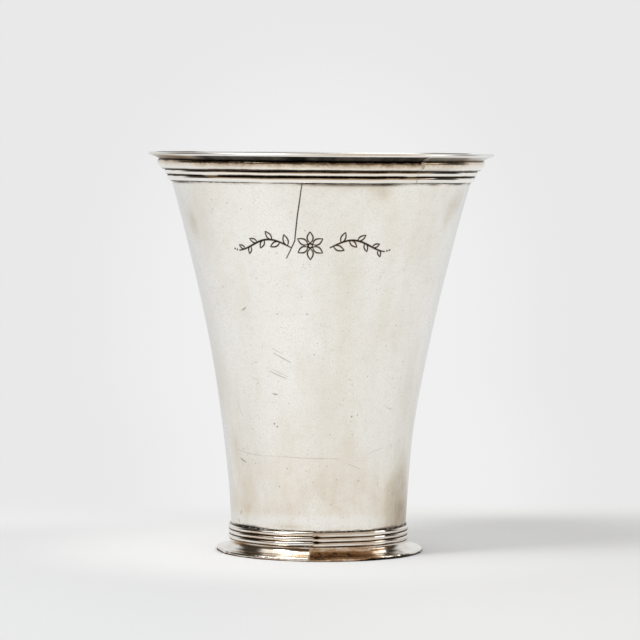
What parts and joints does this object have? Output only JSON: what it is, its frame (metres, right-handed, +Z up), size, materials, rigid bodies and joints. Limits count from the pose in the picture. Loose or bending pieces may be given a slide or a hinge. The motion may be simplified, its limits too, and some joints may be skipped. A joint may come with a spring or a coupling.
{
  "type": "drinking beaker",
  "caption": "Silver drinking beaker: a flared sheet cup with a turned-out, moulded rim and a reeded collar above a low spreading foot, open at the top to hold a drink.",
  "frame": {"origin": "centre of the foot's resting plane, on the beaker's axis", "axes": "+Z up along the beaker's axis; the front, where the engraving is, faces -Y; +X to the right of the front"},
  "size_m": [0.09, 0.09, 0.104],
  "materials": {
    "silver_body": "satin, worn, faintly stained silver sheet",
    "silver_moulding": "polished drawn silver strip with tarnish in the grooves",
    "solder": "dull grey-brown hard solder"
  },
  "bodies": {
    "root": {"body_wall": "silver_body", "floor_disc": "silver_body", "floor_solder": "solder", "rim_moulding": "silver_moulding", "rim_seam_solder": "solder", "rim_edge_solder": "solder", "foot_flange": "silver_moulding", "flange_seam_solder": "solder", "foot_collar": "silver_moulding", "collar_seam_solder": "solder", "collar_edge_solder": "solder"}
  },
  "joints": []
}
